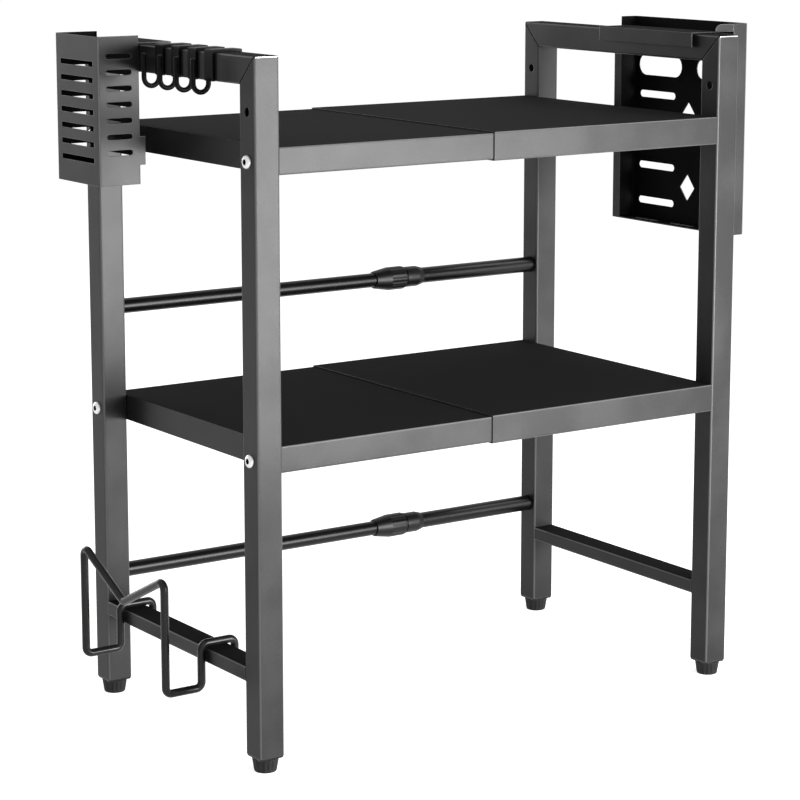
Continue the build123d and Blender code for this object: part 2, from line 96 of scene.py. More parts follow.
class Axis(Enum):
    """A direction along which a turned piece is drawn out."""

    X = Vector((1, 0, 0))
    LEFTWARD = Vector((-1, 0, 0))
    Z = Vector((0, 0, 1))

    def turn(self) -> Triple:
        """The Euler turn that faces a circle along this axis."""
        return (0, 0, 0) if self is Axis.Z else (0, math.pi / 2, 0)

    def scale(self, factor: float) -> Triple:
        """The resize value that scales a ring across this axis and not along it."""
        return (factor, factor, 1) if self is Axis.Z else (1, factor, factor)


class Side(Enum):
    """The rack's two halves; the value points out of the rack along X."""

    LEFT = Axis.LEFTWARD
    RIGHT = Axis.X


class End(Enum):
    """Front and back of an end frame, as the sign of Y."""

    FRONT = -1
    REAR = 1


class Tier(Enum):
    """The rack's two levels, of shelves and of rods."""

    UPPER = "upper"
    LOWER = "lower"


# ---------------------------------------------------------------- materials

def linear(colour: str) -> tuple[float, float, float, float]:
    """Turns an sRGB hex colour to linear RGBA.

    Args:
        colour: six hex digits, such as "2b2b2d".

    Returns:
        The four linear channels.
    """
    channels = [int(colour[i:i + 2], 16) / 255 for i in (0, 2, 4)]
    return (*(c / 12.92 if c <= 0.04045 else ((c + 0.055) / 1.055) ** 2.4 for c in channels), 1.0)


def add_node(tree: bpy.types.NodeTree, kind: str, values: dict[str | int, object] | None = None,
             links: dict[str | int, bpy.types.NodeSocket] | None = None, **settings: object) -> bpy.types.Node:
    """Adds a shader node with its settings, socket values and incoming links.

    Args:
        tree: the material's node tree.
        kind: the node's type name.
        values: socket name or number to a constant.
        links: socket name or number to the output socket that feeds it.
        **settings: the node's own properties.

    Returns:
        The new node.
    """
    node = tree.nodes.new(kind)
    for key, value in settings.items():
        setattr(node, key, value)
    for key, value in (values or {}).items():
        node.inputs[key].default_value = value
    for key, output in (links or {}).items():
        tree.links.new(output, node.inputs[key])
    return node


def shade_ramp(tree: bpy.types.NodeTree, factor: bpy.types.NodeSocket, dark: str,
               light: str) -> bpy.types.NodeSocket:
    """Turns a factor to a colour between two hex colours, over the middle of a noise's range.

    Args:
        tree: the material's node tree.
        factor: the output that drives the ramp.
        dark: hex colour at the low end.
        light: hex colour at the high end.

    Returns:
        The ramp's colour output.
    """
    ramp = add_node(tree, "ShaderNodeValToRGB", links={"Fac": factor})
    first, last = ramp.color_ramp.elements
    first.position, first.color = 0.35, linear(dark)
    last.position, last.color = 0.65, linear(light)
    return ramp.outputs["Color"]


@dataclass(frozen=True)
class Surface:
    """What every finish shares: a grain, a colour drift, a roughness drift and a fine relief.

    A surface takes its pattern from Object coordinates, so each grain has its real size.
    """

    name: str
    dark: str
    light: str
    roughness: float
    metallic: float = 0.0
    specular: float = 0.5
    roughness_drift: float = 0.05
    grain_mm: float = 1.2           # size of the relief's bumps
    relief_mm: float = 0.02         # height of the relief's bumps
    drift_mm: float = 60.0          # size of the slow changes of tone
    grain_share: float = 0.35       # how much of the grain shows in the tone
    bump: float = 0.35              # strength of the relief
    edge_mm: float = 0.0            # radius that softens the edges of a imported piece

    def material(self) -> bpy.types.Material:
        """Builds the material's nodes, the first time that it is asked for.

        Returns:
            The finished material.
        """
        made = bpy.data.materials.get(self.name)
        if made:
            return made
        made = bpy.data.materials.new(self.name)
        made.use_nodes = True
        tree = made.node_tree
        tree.nodes.clear()
        place = add_node(tree, "ShaderNodeTexCoord").outputs["Object"]
        drift = add_node(tree, "ShaderNodeTexNoise", {"Scale": 1 / (self.drift_mm * MM), "Detail": 2.0},
                         {"Vector": place}).outputs["Fac"]
        grain = self.grain(tree, place)
        blend = add_node(tree, "ShaderNodeMath", {1: self.grain_share}, {0: grain, 2: drift},
                         operation="MULTIPLY_ADD")
        tone = add_node(tree, "ShaderNodeMath", {1: self.grain_share / 2}, {0: blend.outputs[0]},
                        operation="SUBTRACT").outputs[0]
        colour = shade_ramp(tree, tone, self.dark, self.light)
        rough = add_node(
            tree, "ShaderNodeMapRange",
            {"To Min": self.roughness - self.roughness_drift, "To Max": self.roughness + self.roughness_drift},
            {"Value": tone},
        ).outputs["Result"]
        bump = add_node(tree, "ShaderNodeBump", {"Strength": self.bump, "Distance": self.relief_mm * MM},
                        {"Height": grain})
        if self.edge_mm:
            edge = add_node(tree, "ShaderNodeBevel", {"Radius": self.edge_mm * MM}, samples=6)
            edge.name = "softened_edge"
            tree.links.new(edge.outputs["Normal"], bump.inputs["Normal"])
        shader = add_node(
            tree, "ShaderNodeBsdfPrincipled",
            {"Metallic": self.metallic, "Specular IOR Level": self.specular},
            {"Base Color": colour, "Roughness": rough, "Normal": bump.outputs["Normal"]},
        )
        self.refine(tree, shader, place)
        add_node(tree, "ShaderNodeOutputMaterial", links={"Surface": shader.outputs["BSDF"]})
        return made

    def grain(self, tree: bpy.types.NodeTree, place: bpy.types.NodeSocket) -> bpy.types.NodeSocket:
        """The fine pattern that the relief and the tone follow.

        Args:
            tree: the material's node tree.
            place: the Object coordinates.

        Returns:
            The pattern's output.
        """
        return add_node(tree, "ShaderNodeTexNoise", {"Scale": 1 / (self.grain_mm * MM), "Detail": 3.0},
                        {"Vector": place}).outputs["Fac"]

    def refine(self, tree: bpy.types.NodeTree, shader: bpy.types.Node, place: bpy.types.NodeSocket) -> None:
        """Adds what only one kind of surface has; a plain surface has nothing more."""


@dataclass(frozen=True)
class PowderCoat(Surface):
    """Baked polyester powder on steel: satin with a little fine metal, matt and painted dark as shade where it lies
    level, with a painted highlight on its edges.
    """

    # painted shade: the level faces are coloured darker, standing for the little light that falls on them from above
    level_shade_colour: str = "121213"
    level_roughness: float = 0.95
    level_from: float = 0.72        # upward part of the normal at which the matt coat and the painted shade start
    level_to: float = 0.94
    edge_highlight_colour: str = "a0a0a0"     # painted highlight along a folded or rounded edge
    edge_highlight_share: float = 0.0
    edge_from: float = 0.99         # greatest of the normal's three parts at which an edge starts
    edge_full: float = 0.93

    def refine(self, tree: bpy.types.NodeTree, shader: bpy.types.Node, place: bpy.types.NodeSocket) -> None:
        """Makes the level faces matt and paints them dark as shade, and paints a pale highlight on the edges.

        Args:
            tree: the material's node tree.
            shader: the material's shader.
            place: the Object coordinates; not used.
        """
        normal = add_node(tree, "ShaderNodeTexCoord").outputs["Normal"]
        upward = add_node(tree, "ShaderNodeSeparateXYZ", links={0: normal}).outputs["Z"]
        level = add_node(tree, "ShaderNodeMapRange", {"From Min": self.level_from, "From Max": self.level_to},
                         {"Value": upward}).outputs["Result"]
        colour, rough = (shader.inputs[name].links[0].from_socket for name in ("Base Color", "Roughness"))
        # painted shade: the level faces are mixed towards the dark level colour
        level_shaded = add_node(tree, "ShaderNodeMix", {7: linear(self.level_shade_colour)}, {0: level, 6: colour},
                          data_type="RGBA")
        matt = add_node(tree, "ShaderNodeMix", {3: self.level_roughness}, {0: level, 2: rough})
        metal = add_node(tree, "ShaderNodeMapRange", {"To Min": self.metallic, "To Max": 0.0}, {"Value": level})
        softened = add_node(tree, "ShaderNodeVectorTransform",
                            links={0: tree.nodes["softened_edge"].outputs["Normal"]}, vector_type="NORMAL",
                            convert_from="WORLD", convert_to="OBJECT").outputs[0]
        # painted highlight: the rounded edges are mixed towards the pale edge colour
        edge_highlighted = add_node(tree, "ShaderNodeMix", {7: linear(self.edge_highlight_colour)},
                         {0: self.edge(tree, softened, level), 6: level_shaded.outputs[2]}, data_type="RGBA")
        tree.links.new(edge_highlighted.outputs[2], shader.inputs["Base Color"])
        tree.links.new(matt.outputs[0], shader.inputs["Roughness"])
        tree.links.new(metal.outputs["Result"], shader.inputs["Metallic"])

    def edge(self, tree: bpy.types.NodeTree, normal: bpy.types.NodeSocket,
             level: bpy.types.NodeSocket) -> bpy.types.NodeSocket:
        """Finds the rounded edges, where the surface faces none of the three directions.

        Args:
            tree: the material's node tree.
            normal: the piece's normal with its edges softened, in its own directions.
            level: the share of the matt coat and of the painted shade, which has no painted highlight.

        Returns:
            The share of the painted edge highlight.
        """
        size = add_node(tree, "ShaderNodeVectorMath", links={0: normal}, operation="ABSOLUTE").outputs[0]
        parts = add_node(tree, "ShaderNodeSeparateXYZ", links={0: size}).outputs
        across = add_node(tree, "ShaderNodeMath", links={0: parts["X"], 1: parts["Y"]}, operation="MAXIMUM")
        most = add_node(tree, "ShaderNodeMath", links={0: across.outputs[0], 1: parts["Z"]}, operation="MAXIMUM")
        turn = add_node(
            tree, "ShaderNodeMapRange",
            {"From Min": self.edge_from, "From Max": self.edge_full, "To Max": self.edge_highlight_share},
            {"Value": most.outputs[0]},
        )
        upright = add_node(tree, "ShaderNodeMath", {0: 1.0}, {1: level}, operation="SUBTRACT")
        return add_node(tree, "ShaderNodeMath", links={0: turn.outputs["Result"], 1: upright.outputs[0]},
                        operation="MULTIPLY").outputs[0]


@dataclass(frozen=True)
class ZincPlate(Surface):
    """Bright zinc on turned steel, with rings left by the tool."""

    ring_mm: float = 0.35

    def grain(self, tree: bpy.types.NodeTree, place: bpy.types.NodeSocket) -> bpy.types.NodeSocket:
        """The fine turned rings, broken by noise.

        Args:
            tree: the material's node tree.
            place: the Object coordinates.

        Returns:
            The rings' output.
        """
        rings = add_node(tree, "ShaderNodeTexWave", {"Scale": 0.3 / (self.ring_mm * MM), "Distortion": 2.0},
                         {"Vector": place}, wave_type="RINGS", rings_direction="X")
        return rings.outputs["Fac"]


# Satin polyester powder over steel tube: dark grey with a soft, slightly metallic gloss, an orange peel
# drawn at 1.6 mm so that it shows, a painted highlight on its edges and painted shade on its level faces.
COAT = PowderCoat("satin_powder_coat", "303030", "383838", 0.36, metallic=0.52, specular=0.06, edge_mm=0.9,
                  grain_mm=1.6, relief_mm=0.03, edge_highlight_share=0.22)
# The same powder on folded sheet, with a stronger painted highlight on its folds.
SHEET_COAT = replace(COAT, name="powder_coated_sheet", edge_highlight_share=0.4)
# Painted shade inside a box: the faces that look into it are coloured nearly black and without gloss.
INSIDE_SHADE_COAT = replace(COAT, name="thin_inner_coat", dark="0b0b0b", light="131313", roughness=0.8, metallic=0.1,
                     edge_highlight_share=0.0)
# A painted highlight along a post's outer top edge: a bright, almost white line.
TOP_EDGE_HIGHLIGHT = replace(COAT, name="ground_weld_seam", dark="cccccc", light="dcdcdc", edge_mm=0.3, edge_highlight_share=0.5)
# The open V between two mitred tubes, painted black as the shade in it: a black line.
GROOVE_SHADE = replace(COAT, name="open_mitre_joint", dark="060606", light="0c0c0c", roughness=0.7, metallic=0.0,
                 edge_highlight_share=0.0)
# Powder on bent wire: smoother than on sheet, with a narrow highlight along each wire.
WIRE_COAT = Surface("powder_coated_wire", "1d1d1d", "262626", 0.27, metallic=0.4, specular=0.25, grain_mm=1.0,
                    relief_mm=0.01)
# Stoved enamel on drawn tube: black, with one clear streak along the rod.
ENAMEL = Surface("stoved_tube_enamel", "0a0a0a", "101010", 0.3, metallic=0.1, specular=0.2, grain_mm=1.2,
                 relief_mm=0.01)
# Vinyl dip over wire and strip: black and soft, with hardly any highlight.
WIRE_DIP = Surface("vinyl_dipped_wire", "050505", "090909", 0.45, specular=0.08, grain_mm=0.7, relief_mm=0.01)
# Injection-moulded nylon with a fine spark-eroded grain: black, half matt.
NYLON = Surface("moulded_nylon", "070708", "0d0d0e", 0.4, specular=0.25, grain_mm=0.5, relief_mm=0.02,
                edge_mm=0.3)
# Compression-moulded rubber: black and matt, lifted a little by its bloom.
RUBBER = Surface("moulded_rubber", "0b0b0b", "141414", 0.6, grain_mm=0.8, relief_mm=0.03, specular=0.25,
                 edge_mm=0.4)
# Bright zinc on turned steel: near white, with fine rings.
ZINC = ZincPlate("zinc_plated_steel", "c4c6c8", "eeeff0", 0.22, metallic=1.0, relief_mm=0.01)
# The same zinc down in the socket: dull, and painted dark as the shade in the socket, with some dirt.
SOCKET_DIRT_AND_SHADE = ZincPlate("zinc_in_socket", "2c2c2e", "3a3a3c", 0.45, metallic=0.8, relief_mm=0.01)

FINISHES = {
    "powder_coated_steel": COAT,
    "black_nylon": NYLON,
    "black_rubber": RUBBER,
    "zinc_plated_steel": ZINC,
}
SLOTS = {part["node"]: part["material_slot"] for part in frame["record"]["subparts"]}


# ---------------------------------------------------------------- modelling steps

@contextmanager
def editing(piece: bpy.types.Object, mode: str = "VERT") -> Iterator[bmesh.types.BMesh]:
    """Edits one piece, with nothing selected in it at the start.

    Args:
        piece: the mesh object to edit.
        mode: what is selected, VERT, EDGE or FACE.

    Yields:
        The piece's mesh in edit mode, to select in.
    """
    bpy.ops.object.select_all(action="DESELECT")
    piece.select_set(True)
    bpy.context.view_layer.objects.active = piece
    bpy.ops.object.mode_set(mode="EDIT")
    bpy.ops.mesh.select_mode(type=mode)
    bpy.ops.mesh.select_all(action="DESELECT")
    yield bmesh.from_edit_mesh(piece.data)
    bpy.ops.object.mode_set(mode="OBJECT")


def pick(piece: bpy.types.Object, parts: bmesh.types.BMVertSeq | bmesh.types.BMEdgeSeq,
         wanted: Callable[..., bool]) -> int:
    """Selects the vertices or edges that pass a test, and no others.

    Args:
        piece: the object in edit mode.
        parts: its vertices or edges.
        wanted: the test.

    Returns:
        How many were selected.
    """
    bpy.ops.mesh.select_all(action="DESELECT")
    chosen = [part for part in parts if wanted(part)]
    for part in chosen:
        part.select_set(True)
    bmesh.update_edit_mesh(piece.data)
    return len(chosen)


def apply_modifier(piece: bpy.types.Object, kind: str, **settings: object) -> None:
    """Adds a modifier to a piece and applies it.

    Args:
        piece: the mesh object.
        kind: the modifier's type name.
        **settings: its properties.
    """
    bpy.ops.object.select_all(action="DESELECT")
    piece.select_set(True)
    bpy.context.view_layer.objects.active = piece
    bpy.ops.object.modifier_add(type=kind)
    modifier = piece.modifiers[-1]
    for key, value in settings.items():
        setattr(modifier, key, value)
    bpy.ops.object.modifier_apply(modifier=modifier.name)


def turned(name: str, place: Vector, axis: Axis, stations: list[Pair], sides: int) -> bpy.types.Object:
    """Models a turned piece: a circle drawn out from station to station and closed on itself.

    Args:
        name: the new object's name.
        place: where the stations are counted from, in metres.
        axis: the piece's centre line.
        stations: (along, radius) in millimetres, once round the section.
        sides: how many sides the circle has.

    Returns:
        The piece, closed, with its normals outward.
    """
    along, radius = stations[0]
    bpy.ops.object.select_all(action="DESELECT")
    bpy.ops.mesh.primitive_circle_add(vertices=sides, radius=radius * MM, rotation=axis.turn(),
                                      location=place + axis.value * along * MM)
    piece = bpy.context.object
    piece.name = name
    bpy.ops.object.transform_apply(location=True, rotation=True, scale=True)
    with editing(piece):
        bpy.ops.mesh.select_all(action="SELECT")
        for next_along, next_radius in [*stations[1:], stations[0]]:
            step = axis.value * (next_along - along) * MM
            bpy.ops.mesh.extrude_region_move(TRANSFORM_OT_translate={"value": step})
            bpy.ops.transform.resize(value=axis.scale(next_radius / radius), center_override=place)
            along, radius = next_along, next_radius
        bpy.ops.mesh.select_all(action="SELECT")
        bpy.ops.mesh.remove_doubles(threshold=MERGE)
        bpy.ops.mesh.normals_make_consistent(inside=False)
    return piece


def radius_about(place: Vector, axis: Axis, point: Vector) -> float:
    """How far a point is from a centre line, in millimetres."""
    offset = point - place
    return (offset - offset.dot(axis.value) * axis.value).length / MM


def flute(piece: bpy.types.Object, place: Vector, axis: Axis, count: int, depth: float, band: Pair,
          least_radius: float) -> None:
    """Presses a ring of lengthways grooves into a turned piece.

    Args:
        piece: a turned piece with SIDES_PER_GROOVE sides to each groove.
        place: a point on its centre line, in metres.
        axis: its centre line.
        count: how many grooves.
        depth: how deep a groove is, in millimetres.
        band: the stretch along the axis that is grooved, from place, in millimetres.
        least_radius: what lies nearer to the centre line stays as it is, in millimetres.
    """
    pitch = math.tau / count

    def phase(vertex: bmesh.types.BMVert) -> float:
        """Measures how far round from the nearest groove's middle a vertex is.

        Args:
            vertex: one of the piece's vertices.

        Returns:
            The distance as a share of the pitch, from 0 to 0.5.
        """
        offset = vertex.co - place
        angle = math.atan2(offset.y, offset.x if axis is Axis.Z else offset.z)
        turn = angle / pitch
        return abs(turn - round(turn))

    def on_band(vertex: bmesh.types.BMVert) -> bool:
        """Whether a vertex is on the grooved skin."""
        along = (vertex.co - place).dot(axis.value) / MM
        return band[0] < along < band[1] and radius_about(place, axis, vertex.co) > least_radius

    half_press = axis.scale(1 - depth / 2 / least_radius)
    with editing(piece) as form:
        for reach in (0.02, 0.2):       # the groove's middle is pressed twice, and its flanks once
            pick(piece, form.verts, lambda vertex: on_band(vertex) and phase(vertex) < reach)
            bpy.ops.transform.resize(value=half_press, center_override=place)


# ---------------------------------------------------------------- sub-assemblies

@dataclass
class Assembly:
    """What every sub-assembly does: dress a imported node, or stand a finer piece in for it."""

    inside_mm: ClassVar[float] = 5.0    # a wall this far from a piece's middle, and facing it, is its inside

    def surface(self, node: str) -> Surface:
        """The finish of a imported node, by its material slot."""
        return FINISHES[SLOTS[node]]

    def dress(self, node: str, surface: Surface | None = None) -> None:
        """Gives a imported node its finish.

        Args:
            node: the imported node's name.
            surface: a finish other than its slot's.
        """
        piece = frame["nodes"][node]
        piece.data.materials.clear()
        piece.data.materials.append((surface or self.surface(node)).material())
        LOG.info("dressed %s", node)

    def stand_in(self, piece: bpy.types.Object, node: str) -> None:
        """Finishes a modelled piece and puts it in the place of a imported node.

        Args:
            piece: the modelled piece; without a material it takes the node's own finish.
            node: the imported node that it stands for.
        """
        bpy.ops.object.select_all(action="DESELECT")
        piece.select_set(True)
        bpy.context.view_layer.objects.active = piece
        bpy.ops.object.shade_smooth_by_angle(angle=math.radians(SMOOTH_DEGREES))
        apply_modifier(piece, "WEIGHTED_NORMAL", keep_sharp=True)
        if not piece.data.materials:
            piece.data.materials.append(self.surface(node).material())
        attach(piece, body_of(frame["nodes"][node])[0])
        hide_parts(node)
        LOG.info("modelled %s for %s, %d faces", piece.name, node, len(piece.data.polygons))

    def copy_of(self, node: str, name: str) -> bpy.types.Object:
        """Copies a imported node's mesh to shape it further.

        Args:
            node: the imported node's name.
            name: the copy's name.

        Returns:
            The copy, with its doubled vertices merged.
        """
        piece = bpy.data.objects.new(name, frame["nodes"][node].data.copy())
        piece.data.materials.clear()
        bpy.context.scene.collection.objects.link(piece)
        with editing(piece):
            bpy.ops.mesh.select_all(action="SELECT")
            bpy.ops.mesh.customdata_custom_splitnormals_clear()
            bpy.ops.mesh.remove_doubles(threshold=MERGE)
        return piece

    def shade_inside(self, piece: bpy.types.Object, node: str) -> None:
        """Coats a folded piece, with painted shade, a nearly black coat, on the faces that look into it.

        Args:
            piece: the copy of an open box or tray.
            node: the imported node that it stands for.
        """
        low, high = (Vector(corner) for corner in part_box(node))
        middle = (low + high) / 2
        for surface in (SHEET_COAT, INSIDE_SHADE_COAT):
            piece.data.materials.append(surface.material())
        # painted shade: the faces that look into the piece take the nearly black coat
        for face in piece.data.polygons:
            inward = (middle - face.center) * Vector((1, 1, 0))
            face.material_index = int(face.normal.dot(inward) > self.inside_mm * MM)


@dataclass
class EndFrame(Assembly):
    """One welded end frame: two posts, a mitred top rail and a low cross rail."""

    side: Side
    post_mm: float = 25.0
    skin_mm: float = 11.6           # nearer to the tube's middle than this is its inside
    groove_mm: float = 0.6          # bevel of the mitred ends, which leaves a fine V between them
    top_highlight_mm: float = 1.3            # height of the painted highlight along a post's top edge
    snap_mm: float = 0.02           # a vertex this near to the mitre's plane is on it
    facing: float = 0.9             # part of a normal from which its face counts as facing that way

    def build(self) -> None:
        """Opens the mitre joints and dresses the frame."""
        name = self.side.name.lower()
        for end in End:
            node = f"{name}_{end.name.lower()}_post"
            self.stand_in(self.top_highlighted(self.mitred(node), node, end), node)
        self.stand_in(self.mitred(f"{name}_top_rail"), f"{name}_top_rail")
        self.dress(f"{name}_bottom_rail")

    def top_highlighted(self, piece: bpy.types.Object, node: str, end: End) -> bpy.types.Object:
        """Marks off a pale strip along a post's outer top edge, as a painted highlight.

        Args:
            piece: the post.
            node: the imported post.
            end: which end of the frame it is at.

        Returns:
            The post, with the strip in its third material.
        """
        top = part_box(node)[1][2] - self.top_highlight_mm * MM
        with editing(piece):
            bpy.ops.mesh.select_all(action="SELECT")
            bpy.ops.mesh.bisect(plane_co=(0, 0, top), plane_no=(0, 0, 1))
        for face in piece.data.polygons:
            # painted highlight: the top strip of the outward face takes the pale material
            if face.center.z > top and face.normal.y * end.value > self.facing:
                face.material_index = 2
        return piece

    def mitred(self, node: str) -> bpy.types.Object:
        """Copies a tube and bevels the outer edge of its mitred ends.

        Args:
            node: a post or a top rail.

        Returns:
            The bevelled copy.
        """
        low, high = (Vector(corner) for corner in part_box(f"{self.side.name.lower()}_top_rail"))
        middle_x = (low.x + high.x) / 2
        axis_y = high.y - self.post_mm * MM / 2
        piece = self.copy_of(node, f"{node}_tube")
        for surface in (COAT, GROOVE_SHADE, TOP_EDGE_HIGHLIGHT):
            piece.data.materials.append(surface.material())

        def on_mitre(vertex: bmesh.types.BMVert) -> bool:
            """Tells whether a vertex is on the outer rim of a 45 degree cut.

            Args:
                vertex: one of the tube's vertices.

            Returns:
                True on the rim.
            """
            height = vertex.co.z - high.z + high.y - abs(vertex.co.y)
            reach = max(abs(vertex.co.x - middle_x), abs(abs(vertex.co.y) - axis_y))
            return abs(height) < self.snap_mm * MM and reach > self.skin_mm * MM

        def across(edge: bmesh.types.BMEdge) -> bool:
            """Whether an edge crosses the tube on the rim, not from one end to the other."""
            return all(on_mitre(vertex) for vertex in edge.verts) and edge.calc_length() < 2 * self.post_mm * MM

        with editing(piece, "EDGE") as form:
            count = pick(piece, form.edges, across)
            bpy.ops.mesh.bevel(offset=self.groove_mm * MM, segments=1, affect="EDGES")
            # painted shade: the bevel's faces take the black of the shade in the V
            piece.active_material_index = 1
            bpy.ops.object.material_slot_assign()
        LOG.info("bevelled %d mitre edges of %s", count, node)
        return piece


@dataclass
class Shelf(Assembly):
    """One telescoping shelf of two folded trays."""

    tier: Tier

    def build(self) -> None:
        """Dresses both trays."""
        for side in Side:
            self.dress(f"{self.tier.value}_shelf_{side.name.lower()}_panel")


@dataclass
class ShelfScrews(Assembly):
    """The four socket screws of one side, with domed heads, and their weld nuts."""

    side: Side
    head_radius: float = 6.0
    head_height: float = 3.3
    shank_radius: float = 3.0
    socket_radius: float = 2.8      # to the corners of the hexagon
    socket_depth: float = 2.6
    lip: float = 0.35               # rounding of the head's and the socket's rims
    crown: float = 0.9              # flat ring round the socket
    chamfer: float = 0.5            # at the shank's end
    drill_cone: float = 0.6         # depth that the drill's point left below the socket
    dome_steps: int = 7
    sides: int = 48

    def build(self) -> None:
        """Models one screw, copies it to the four holes and dresses the nuts."""
        name = self.side.name.lower()
        node = f"{name}_shelf_screws"
        low, high = (Vector(corner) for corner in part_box(node))
        outer_x = high.x - self.head_height * MM if self.side is Side.RIGHT else low.x + self.head_height * MM
        places = [
            Vector((outer_x, y, z))
            for y in (low.y + self.head_radius * MM, high.y - self.head_radius * MM)
            for z in (low.z + self.head_radius * MM, high.z - self.head_radius * MM)
        ]
        screw = self.screw(places[0], (high.x - low.x) / MM - self.head_height)
        screw.name = f"{name}_socket_screws"
        copies = []
        for place in places[1:]:
            copy = screw.copy()
            copy.data = screw.data.copy()
            copy.location = place - places[0]
            bpy.context.scene.collection.objects.link(copy)
            copies.append(copy)
        bpy.ops.object.select_all(action="DESELECT")
        for copy in copies:
            copy.select_set(True)
        screw.select_set(True)
        bpy.context.view_layer.objects.active = screw
        bpy.ops.object.join()
        self.stand_in(screw, node)
        self.dress(f"{name}_weld_nuts")

    def screw(self, place: Vector, shank: float) -> bpy.types.Object:
        """Models one screw with a domed head and a six-sided socket.

        Args:
            place: the middle of the head's seat, in metres.
            shank: the shank's length in millimetres.

        Returns:
            The screw.
        """
        crown_radius = self.socket_radius + self.crown
        dome = [
            (self.head_height - self.lip - (self.head_height - 2 * self.lip) * (1 - math.cos(turn)),
             crown_radius + (self.head_radius - crown_radius) * math.sin(turn))
            for turn in (math.radians(step * 90 / self.dome_steps) for step in range(self.dome_steps + 1))
        ]
        floor = self.head_height - self.socket_depth
        stations = [
            (-shank, POLE), (-shank, self.shank_radius - self.chamfer), (self.chamfer - shank, self.shank_radius),
            (0, self.shank_radius), (0, self.head_radius - self.lip / 2), (self.lip / 2, self.head_radius),
            *dome[::-1], (self.head_height, self.socket_radius + self.crown / 2),
            (self.head_height - self.lip, self.socket_radius), (floor, self.socket_radius),
            (floor - self.drill_cone, POLE),
        ]
        piece = turned("screw", place, self.side.value, stations, self.sides)

        def socket_wall(vertex: bmesh.types.BMVert) -> bool:
            """Tells whether a vertex is on the wall of the socket.

            Args:
                vertex: one of the screw's vertices.

            Returns:
                True on the wall.
            """
            along = (vertex.co - place).dot(self.side.value.value) / MM
            near = radius_about(place, self.side.value, vertex.co)
            return along > 0.5 and abs(near - self.socket_radius) < 0.01

        with editing(piece) as form:
            pick(piece, form.verts, socket_wall)
            for vertex in (part for part in form.verts if part.select):
                offset = vertex.co - place
                corner = math.fmod(math.atan2(offset.z, offset.y) + math.tau, math.pi / 3) - math.pi / 6
                shrink = math.cos(math.pi / 6) / math.cos(corner)
                vertex.co = place + Vector((offset.x, offset.y * shrink, offset.z * shrink))
            bmesh.update_edit_mesh(piece.data)
        piece.data.materials.append(ZINC.material())
        piece.data.materials.append(SOCKET_DIRT_AND_SHADE.material())
        # painted shade, with some dirt: the socket's faces take the dark zinc
        for face in piece.data.polygons:
            along = (face.center - place).dot(self.side.value.value) / MM
            near = radius_about(place, self.side.value, face.center)
            face.material_index = int(along > 0.2 and near < self.socket_radius)
        return piece


@dataclass
class Rod(Assembly):
    """One telescoping rod with its twist lock: a cone nut with a fluted grip, and a sleeve."""

    tier: Tier
    flutes: int = 14
    flute_depth: float = 0.8
    grip: Pair = (17.2, 35.0)       # the fluted stretch of the nut
    grip_skin: float = 11.4
    stub: float = 21.4              # the sleeve's thread, which the nut covers
    sleeve_sides: int = 72
    nut_profile: tuple[Pair, ...] = (
        (0.0, 7.5), (0.0, 8.25), (0.2, 8.6), (0.6, 8.85), (16.2, 11.55), (16.9, 11.7), (17.6, 11.7),
        (33.6, 11.7), (34.6, 11.55), (35.2, 11.2), (35.5, 10.7), (35.5, 9.5), (12.0, 9.5), (3.0, 7.5),
    )
    sleeve_profile: tuple[Pair, ...] = (    # counted from the stub's end
        (0.0, 9.9), (0.15, 10.2), (0.5, 10.35), (13.6, 10.35), (14.7, 10.28), (15.4, 10.1), (20.4, 8.8), (20.9, 8.55),
        (21.0, 8.3), (21.0, 8.05),
    )

    def build(self) -> None:
        """Dresses the tubes and models the nut and the sleeve."""
        for tube in ("inner", "outer"):
            self.dress(f"{self.tier.value}_rod_{tube}_tube", ENAMEL)
        self.dress(f"{self.tier.value}_lock_collet")
        self.nut(f"{self.tier.value}_lock_nut")
        self.sleeve(f"{self.tier.value}_lock_sleeve")

    def start_of(self, node: str) -> Vector:
        """The middle of a node's left end, in metres."""
        low, high = (Vector(corner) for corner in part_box(node))
        return Vector((low.x, (low.y + high.y) / 2, (low.z + high.z) / 2))

    def nut(self, node: str) -> None:
        """Models the nut: nose, cone, fluted grip and a threaded bore.

        Args:
            node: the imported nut.
        """
        place = self.start_of(node)
        name = f"{self.tier.value}_twist_nut"
        piece = turned(name, place, Axis.X, list(self.nut_profile), self.flutes * SIDES_PER_GROOVE)
        flute(piece, place, Axis.X, self.flutes, self.flute_depth, self.grip, self.grip_skin)
        self.stand_in(piece, node)

    def sleeve(self, node: str) -> None:
        """Models the sleeve: a threaded stub, a rounded body and a tapered end.

        Args:
            node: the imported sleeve.
        """
        stations = [
            (0.0, 8.05), (0.0, 9.1), (0.4, 9.4), (self.stub, 9.4),
            *((self.stub + along, radius) for along, radius in self.sleeve_profile),
        ]
        name = f"{self.tier.value}_twist_sleeve"
        self.stand_in(turned(name, self.start_of(node), Axis.X, stations, self.sleeve_sides), node)


